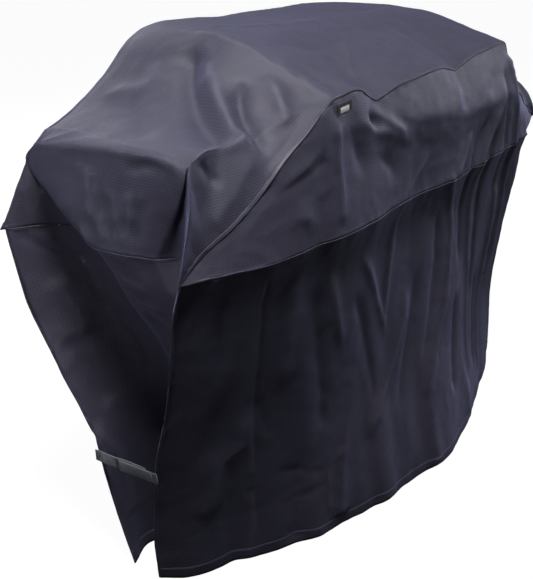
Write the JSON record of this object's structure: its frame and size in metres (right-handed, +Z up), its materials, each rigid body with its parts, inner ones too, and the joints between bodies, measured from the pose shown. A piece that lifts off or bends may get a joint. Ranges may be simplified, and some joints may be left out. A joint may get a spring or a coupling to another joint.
{
  "type": "grill cover",
  "caption": "Draped cloth cover for a large gas grill with side shelves: seamed panels, turned hem, inward-folded ends held by hook-and-loop straps, and a blank label.",
  "frame": {"origin": "on the floor under the middle of the cover's box", "axes": "+X to the cover's right, along its width; +Y to its back; +Z up; the front faces -Y"},
  "size_m": [1.581, 0.764, 1.0673],
  "materials": {
    "cloth": "matte coated ripstop, faint sheen",
    "binding": "matte seam edge with topstitching",
    "webbing": "matte woven webbing",
    "hook_tape": "stiff nylon hooks",
    "loop_tape": "brushed nylon loops",
    "label_cloth": "satin woven label, left blank"
  },
  "bodies": {
    "cover": {"top_strip": "cloth", "front_upper_panel": "cloth", "back_upper_panel": "cloth", "front_lower_panel": "cloth", "back_lower_panel": "cloth", "left_lower_panel": "cloth", "right_lower_panel": "cloth", "front_hem": "cloth", "back_hem": "cloth", "left_hem": "cloth", "right_hem": "cloth", "front_cap_seam": "binding", "back_cap_seam": "binding", "front_waist_seam": "binding", "back_waist_seam": "binding", "left_waist_seam": "binding", "right_waist_seam": "binding", "front_left_corner_seam": "binding", "front_right_corner_seam": "binding", "back_left_corner_seam": "binding", "back_right_corner_seam": "binding", "left_front_strap_tab": "webbing", "left_rear_strap_tab": "webbing", "right_front_strap_tab": "webbing", "right_rear_strap_tab": "webbing"},
    "left_front_strap": {"left_front_strap": "webbing", "left_hook_patch": "hook_tape"},
    "left_rear_strap": {"left_rear_strap": "webbing", "left_loop_patch": "loop_tape"},
    "right_front_strap": {"right_front_strap": "webbing", "right_hook_patch": "hook_tape"},
    "right_rear_strap": {"right_rear_strap": "webbing", "right_loop_patch": "loop_tape"},
    "label": {"label": "label_cloth"}
  },
  "joints": [
    {"name": "left_front_strap_peel", "type": "hinge", "parent": "cover", "child": "left_front_strap", "pos_m": [-0.7905, -0.09961, 0.265], "axis": [0, 0, 1], "range_deg": [0, 160]},
    {"name": "left_rear_strap_swing", "type": "hinge", "parent": "cover", "child": "left_rear_strap", "pos_m": [-0.7836, 0.04829, 0.24814], "axis": [0, 0, 1], "range_deg": [0, 40]},
    {"name": "right_front_strap_peel", "type": "hinge", "parent": "cover", "child": "right_front_strap", "pos_m": [0.7905, -0.09961, 0.265], "axis": [0, 0, -1], "range_deg": [0, 160]},
    {"name": "right_rear_strap_swing", "type": "hinge", "parent": "cover", "child": "right_rear_strap", "pos_m": [0.7836, 0.04829, 0.24814], "axis": [0, 0, -1], "range_deg": [0, 40]},
    {"name": "label_flip", "type": "hinge", "parent": "cover", "child": "label", "pos_m": [-0.357, -0.2425, 0.954], "axis": [-1, 0, 0], "range_deg": [0, 150]}
  ]
}
